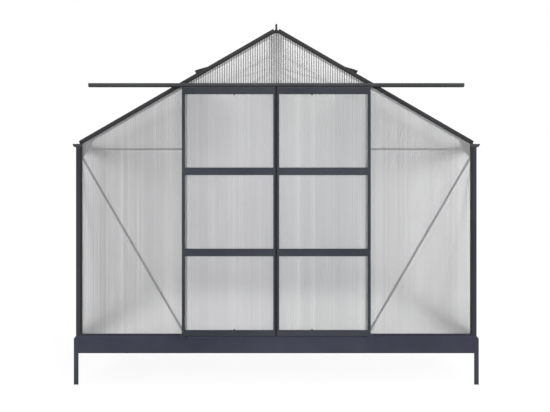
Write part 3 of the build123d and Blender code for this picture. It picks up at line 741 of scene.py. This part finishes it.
def make_door_details(door, side):
    """Screws in the outer edge of a leaf, one at each rail, and the two small clips that hold its panes."""
    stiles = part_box(door + "_stiles")
    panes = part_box(door + "_panes")
    middle_y = (stiles[0].y + stiles[1].y) / 2
    edge = stiles[1].x if side > 0 else stiles[0].x
    rail_levels = (0.3335, 0.826, 1.3325, 1.8335)
    screw_radius = 0.0045
    build = Build()
    for z in rail_levels:
        build.screw((edge, middle_y, z), (side, 0, 0), screw_radius)
    build.finish(door + "_edge_screws", door, ZINC_PLATE)
    clips = Build()
    x = {1: 0.223, -1: -0.262}[side]
    front = panes[0].y
    top_clip, foot_clip = (1.8165, -1), (0.3395, 1)
    tongue = ((0.0, 0.0055, 0.0042), (0.004, 0.0052, 0.0040), (0.0078, 0.0042, 0.0030), (0.0092, 0.0030, 0.0016))
    bevel = 0.7
    for z, way in (top_clip, foot_clip):
        sections = []
        for reach, half, depth in tongue:
            level = z + way * reach
            shoulder = front - depth * bevel
            sections.append([(x - half, front, level), (x + half, front, level),
                             (x + half, shoulder, level), (x + half * bevel, front - depth, level),
                             (x - half * bevel, front - depth, level), (x - half, shoulder, level)])
        clips.loft(sections)
    clips.finish(door + "_pane_clips", door, CAP_NYLON)


def make_door_beads(door):
    """Soft glazing beads where the panes enter the rails and stiles, on both faces."""
    build = Build()
    groove, meeting_groove = 0.007, 0.0059
    bead = ((0.0, 0.0), (0.0, 0.0014), (0.0006, 0.0016), (0.0012, 0.0008), (0.0013, 0.0))
    low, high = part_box(door + "_panes")
    left, right = low.x + (meeting_groove if low.x > 0 else groove), high.x - groove
    for faces in separate_solids(nodes[door + "_panes"]):
        levels = [point.z for face in faces for point in face]
        foot, top = min(levels) + groove, max(levels) - groove
        for face, out in ((low.y, -1), (high.y, 1)):
            rings = []
            for inset, depth in bead:
                y = face + out * depth
                x0, x1 = left + inset, right - inset
                z0, z1 = foot + inset, top - inset
                rings.append([(x0, y, z0), (x1, y, z0), (x1, y, z1), (x0, y, z1)])
            points = [point for ring in rings for point in ring]
            quads = []
            n = len(rings)
            for k in range(n):
                for i in range(4):
                    j = (i + 1) % 4
                    m = (k + 1) % n
                    quads.append((4 * k + i, 4 * k + j, 4 * m + j, 4 * m + i))
            build.add(points, quads)
    build.finish(door + "_glazing_beads", door, SEAL_RUBBER)


def make_door_brush(door):
    """The pile strip on top of a leaf, which fills the slit under the track: a row of tapered tufts."""
    build = Build()
    low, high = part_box(door + "_stiles")
    pitch = 0.0025
    pile, uneven = 0.0042, 0.0003
    lean_turn, height_turn = 2.399, 1.618
    count = int((high.x - low.x) / pitch)
    for i in range(count):
        x = low.x + (i + 0.5) * pitch
        lean = uneven * math.sin(i * lean_turn)
        tall = pile + uneven * math.sin(i * height_turn)
        tuft = ((-SINK, 0.00124, 0.0003, 0.0017), (0.002, 0.0012, 0.0003, 0.0017), (tall, 0.0006, 0.0005, 0.0015))
        sections = []
        for level, half, y0, y1 in tuft:
            z = high.z + level
            shift = x + lean * max(level, 0.0) / pile
            sections.append([(shift - half, low.y + y0, z), (shift + half, low.y + y0, z),
                             (shift + half, low.y + y1, z), (shift - half, low.y + y1, z)])
        build.loft(sections)
    build.finish(door + "_top_brush", door, BRUSH_PILE)


def make_seal_foot(door, side):
    """The end of a meeting seal, which closes the slit beside the guide slot down to the foot of the leaf. The left
    seal also has a lip that grips the face of its stile."""
    build = Build()
    bite, bevel, foot_gap = 0.0003, 0.0006, 0.0006
    low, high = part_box(door + "_seal")
    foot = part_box(door + "_stiles")[0].z
    free = low.x if side > 0 else high.x
    held = free + side * (high.x - low.x + bite)
    nose = free + side * bevel
    sections = []
    for level, inset in ((foot + foot_gap, 0.0009), (foot + 0.0020, 0.0003), (low.z + SINK, 0.0003)):
        y0, y1 = low.y + inset, high.y - inset
        sections.append([(held, y0, level), (nose, y0, level), (free, y0 + bevel, level),
                         (free, y1 - bevel, level), (nose, y1, level), (held, y1, level)])
    build.loft(sections)
    if side < 0:
        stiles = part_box(door + "_stiles")
        face = stiles[0].y
        lip, overlap, end_gap = 0.003, 0.0006, 0.001
        sunk, shoulder, crown, round_off = 0.0002, 0.0003, 0.0008, 0.0007
        inner, outer = held - lip, held + overlap
        outline = [(inner, face + sunk), (inner, face - shoulder), (inner + round_off, face - crown),
                   (outer - round_off, face - crown), (outer, face - shoulder), (outer, face + sunk)]
        build.loft([[(x, y, z) for x, y in outline] for z in (foot + end_gap, stiles[1].z - end_gap)])
    build.finish(door + "_seal_foot", door, SEAL_RUBBER)


# Rubber gaskets round the sheets of the walls. Each fills an opening between the lips of the bars, and laps a little
# on each lip.


def offset_outline(points, distances):
    """A convex outline whose edges move inwards by their own distances."""
    count = len(points)
    middle = sum((Vector(point) for point in points), Vector((0, 0))) / count
    lines = []
    for i in range(count):
        a, b = Vector(points[i]), Vector(points[(i + 1) % count])
        way = (b - a).normalized()
        normal = Vector((-way.y, way.x))
        if normal.dot(middle - a) < 0:
            normal = -normal
        lines.append((a + normal * distances[i], way))
    corners = []
    for i in range(count):
        (p, d), (q, e) = lines[i - 1], lines[i]
        t = ((q.x - p.x) * e.y - (q.y - p.y) * e.x) / (d.x * e.y - d.y * e.x)
        corners.append(p + d * t)
    return corners


def gasket(build, opening, laps, place):
    """One closed rubber ring round an opening; place turns a point of the wall and a depth into a point in space.
    Each step of the section is a share of the lap, a reach past the lip and a depth."""
    section = ((1.0, 0.0, 0.00205), (0.9, 0.0, 0.0011), (0.0, 0.0004, 0.0009), (0.0, 0.0017, 0.0027),
               (0.0, 0.0017, 0.0043), (0.0, 0.0003, 0.0043), (0.0, 0.0003, 0.00205))
    count = len(opening)
    points = []
    for share, beyond, depth in section:
        ring = offset_outline(opening, [beyond - share * lap for lap in laps])
        points += [place(corner.x, corner.y, depth) for corner in ring]
    faces = []
    for k in range(len(section)):
        m = (k + 1) % len(section)
        for i in range(count):
            j = (i + 1) % count
            faces.append((k * count + i, k * count + j, m * count + j, m * count + i))
    build.add(points, faces)


def wall_opening(near, far):
    """The opening between two uprights of a gable wall, from the sill's lip to the rafter's lip."""
    sill = BASE_TOP + SILL_LIP
    return [(near, sill), (far, sill), (far, roof_z(far, RAFTER_LIP)), (near, roof_z(near, RAFTER_LIP))]


def on_front(x, z, depth):
    return (x, FRONT_Y + depth, z)


def on_rear(x, z, depth):
    return (x, REAR_Y - depth, z)


def make_gaskets():
    sill_lap, post_lap, rafter_lap, jamb_lap, stud_lap = 0.0006, 0.012, 0.010, 0.003, 0.004
    head_lap, shoulder_lap = 0.004, 0.001
    jamb = 0.590
    post = HALF_WALL - POST_LIP
    front = Build()
    rear = Build()
    for side in (-1, 1):
        gasket(front, wall_opening(side * jamb, side * post), (sill_lap, post_lap, rafter_lap, jamb_lap), on_front)
        for near, far, laps in ((REAR_STUD + STUD_LIP, post, (sill_lap, post_lap, rafter_lap, stud_lap)),
                                (STUD_LIP, REAR_STUD - STUD_LIP, (sill_lap, stud_lap, rafter_lap, stud_lap))):
            gasket(rear, wall_opening(side * near, side * far), laps, on_rear)
    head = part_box("door_track")[1].z
    reach = 0.560
    shoulder = roof_z(reach, RAFTER_LIP)
    gable = [(-reach, head), (reach, head), (reach, shoulder), (0.0, roof_z(0.0, RAFTER_LIP)), (-reach, shoulder)]
    gasket(front, gable, (head_lap, shoulder_lap, rafter_lap, rafter_lap, shoulder_lap), on_front)
    front.finish("front_wall_gaskets", "frame", SEAL_RUBBER)
    rear.finish("rear_wall_gaskets", "frame", SEAL_RUBBER)
    starts = [FRONT_Y + POST_LIP] + [y + STUD_LIP for y in STUD_PLACES]
    ends = [y - STUD_LIP for y in STUD_PLACES] + [REAR_Y - POST_LIP]
    low, high = BASE_TOP + SILL_LIP, POST_TOP - EAVES_LIP
    for side, hand in ((-1, "left"), (1, "right")):
        build = Build()
        for start, end in zip(starts, ends):
            opening = [(start, low), (end, low), (end, high), (start, high)]
            gasket(build, opening, (stud_lap,) * 4, lambda y, z, d: (side * (HALF_WALL - d), y, z))
        build.finish(hand + "_wall_gaskets", "frame", SEAL_RUBBER)


fluted_sheets("front_wall_sheets", "front_wall_panels", lambda side: GABLE_AXES, FRONT_SHEET, "frame")
fluted_sheets("rear_wall_sheets", "rear_wall_panels", lambda side: GABLE_AXES, REAR_SHEET, "frame")
for hand, door in (("left", "left_door"), ("right", "right_door")):
    fluted_sheets(hand + "_wall_sheets", hand + "_wall_panels", lambda side: SIDE_AXES, SIDE_SHEETS[hand], "frame")
    fluted_sheets(hand + "_roof_sheets", hand + "_roof_panels", lambda side: slope_axes(PITCH, side), ROOF_SHEET,
                  "frame")
    fluted_sheets(door + "_sheets", door + "_panes", lambda side: GABLE_AXES, DOOR_SHEETS[hand], door)
fluted_sheets("vent_sheets", "vent_panes", lambda side: slope_axes(VENT_ANGLE, side), ROOF_SHEET, "frame")
make_wall_nuts()
make_roof_nuts()
make_plate_screws()
make_sill_screws()
make_stake_bolts()
make_vent_screws()
for door, side in (("left_door", -1), ("right_door", 1)):
    make_door_details(door, side)
    make_door_beads(door)
    make_door_brush(door)
    make_seal_foot(door, side)
make_gaskets()


# Floor, light and camera


def studio_share(tree, through):
    """1 for the rays that should see the white studio, through for those that come through the sheets, and 0 for
    those that light the object."""
    path = tree.nodes.new("ShaderNodeLightPath")
    part = tree.nodes.new("ShaderNodeMapRange")
    part.inputs["To Max"].default_value = through
    tree.links.new(path.outputs["Is Transmission Ray"], part.inputs["Value"])
    share = part.outputs["Result"]
    for name in ("Is Camera Ray", "Is Glossy Ray"):
        larger = tree.nodes.new("ShaderNodeMath")
        larger.operation = "MAXIMUM"
        tree.links.new(share, larger.inputs[0])
        tree.links.new(path.outputs[name], larger.inputs[1])
        share = larger.outputs["Value"]
    return share


def share_range(tree, low, high, through=1.0):
    """A level for the light on the object, and another one for the white studio."""
    node = tree.nodes.new("ShaderNodeMapRange")
    node.inputs["To Min"].default_value = low
    node.inputs["To Max"].default_value = high
    tree.links.new(studio_share(tree, through), node.inputs["Value"])
    return node.outputs["Result"]


def make_world():
    world = bpy.data.worlds.new("studio")
    world.use_nodes = True
    background = world.node_tree.nodes["Background"]
    background.inputs["Color"].default_value = WHITE
    world.node_tree.links.new(share_range(world.node_tree, 0.85, 1.0), background.inputs["Strength"])
    bpy.context.scene.world = world


def make_floor():
    size = 60.0
    mesh = bpy.data.meshes.new("floor")
    mesh.from_pydata([(-size, -size, 0), (size, -size, 0), (size, size, 0), (-size, size, 0)], [], [(0, 1, 2, 3)])
    floor = bpy.data.objects.new("floor", mesh)
    bpy.context.scene.collection.objects.link(floor)
    material = bpy.data.materials.new("pale_floor")
    material.use_nodes = True
    tree = material.node_tree
    tree.nodes.clear()
    diffuse = tree.nodes.new("ShaderNodeBsdfDiffuse")
    glow = tree.nodes.new("ShaderNodeEmission")
    both = tree.nodes.new("ShaderNodeAddShader")
    out = tree.nodes.new("ShaderNodeOutputMaterial")
    through = 0.42
    tree.links.new(share_range(tree, 0.8, 0.24, through), diffuse.inputs["Color"])
    tree.links.new(share_range(tree, 0.0, 0.82, through), glow.inputs["Strength"])
    tree.links.new(diffuse.outputs[0], both.inputs[0])
    tree.links.new(glow.outputs[0], both.inputs[1])
    tree.links.new(both.outputs[0], out.inputs["Surface"])
    mesh.materials.append(material)


def soft_lamp(name, place, aim, size, power):
    lamp = bpy.data.lights.new(name, "AREA")
    lamp.shape = "DISK"
    lamp.size = size
    lamp.energy = power
    obj = bpy.data.objects.new(name, lamp)
    obj.location = place
    obj.rotation_euler = (Vector(aim) - Vector(place)).to_track_quat("-Z", "Y").to_euler()
    bpy.context.scene.collection.objects.link(obj)


def make_camera():
    """The photo's view: level and square on, its scale set in the plane of the front wall."""
    sensor = 36.0
    distance, seen_width = 4.18, 3.4375
    front_plane, eye_level = -1.5233, 1.116
    sideways, picture_width = -1.3, 550
    data = bpy.data.cameras.new("camera")
    data.sensor_fit = "HORIZONTAL"
    data.sensor_width = sensor
    data.lens = sensor * distance / seen_width
    data.shift_x = sideways / picture_width
    data.clip_end = 200.0
    camera = bpy.data.objects.new("camera", data)
    camera.location = (0.0, front_plane - distance, eye_level)
    camera.rotation_euler = (math.radians(90), 0.0, 0.0)
    bpy.context.scene.collection.objects.link(camera)
    bpy.context.scene.camera = camera


make_world()
make_floor()
soft_lamp("key", (0.6, -6.2, 2.4), (0.1, -0.6, 1.0), 3.0, 75)
soft_lamp("fill", (4.6, 0.6, 1.5), (0.4, -0.4, 0.6), 3.0, 36)
make_camera()
bpy.context.scene.view_settings.view_transform = "Standard"
